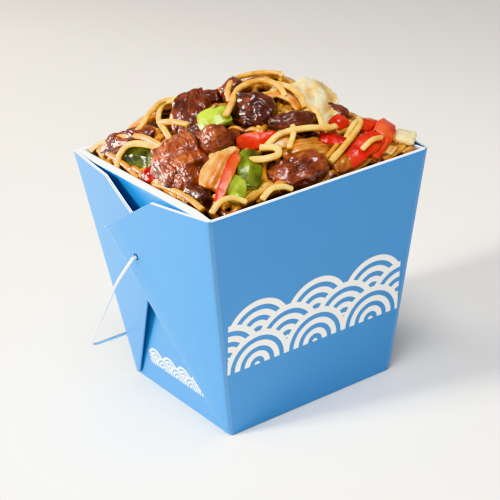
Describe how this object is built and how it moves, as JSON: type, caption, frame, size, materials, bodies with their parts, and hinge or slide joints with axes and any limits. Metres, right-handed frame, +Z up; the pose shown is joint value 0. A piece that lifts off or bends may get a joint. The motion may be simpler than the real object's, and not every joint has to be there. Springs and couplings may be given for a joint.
{
  "type": "noodle takeaway box",
  "caption": "Folded paperboard takeaway pail with a swinging wire bail, heaped with noodles, beef, peppers, onion and cabbage.",
  "frame": {"origin": "middle of the base, on the surface that the box stands on", "axes": "+Z up; -Y out of the printed front; +X and -X out of the ends that carry the folded webs and the bail"},
  "size_m": [0.1216, 0.096, 0.1267],
  "materials": {
    "printed_board": "satin printed paperboard, white inside and on its cut edges",
    "steel_wire": "drawn, zinc-bright wire",
    "noodle": "oily, wet",
    "beef": "glazed with dark sauce",
    "green_pepper": "waxy skin, oily",
    "red_pepper": "waxy skin, oily",
    "onion": "translucent, stained by the sauce",
    "cabbage": "translucent, wet"
  },
  "bodies": {
    "box": {"carton": "printed_board", "noodle_heap": "noodle", "beef_1": "beef", "beef_2": "beef", "beef_3": "beef", "beef_4": "beef", "beef_5": "beef", "beef_6": "beef", "beef_7": "beef", "beef_8": "beef", "beef_9": "beef", "beef_10": "beef", "beef_11": "beef", "beef_12": "beef", "beef_13": "beef", "beef_14": "beef", "green_pepper_1": "green_pepper", "green_pepper_2": "green_pepper", "green_pepper_3": "green_pepper", "green_pepper_4": "green_pepper", "green_pepper_5": "green_pepper", "red_pepper_1": "red_pepper", "red_pepper_2": "red_pepper", "red_pepper_3": "red_pepper", "red_pepper_4": "red_pepper", "red_pepper_5": "red_pepper", "red_pepper_6": "red_pepper", "red_pepper_7": "red_pepper", "red_pepper_8": "red_pepper", "red_pepper_9": "red_pepper", "onion_1": "onion", "onion_2": "onion", "onion_3": "onion", "onion_4": "onion", "onion_5": "onion", "onion_6": "onion", "cabbage_leaf": "cabbage"},
    "bail": {"bail": "steel_wire"}
  },
  "joints": [
    {"name": "bail_swing", "type": "hinge", "parent": "box", "child": "bail", "pos_m": [0, 0, 0.0707], "axis": [1, 0, 0], "range_deg": [0, 289]}
  ]
}
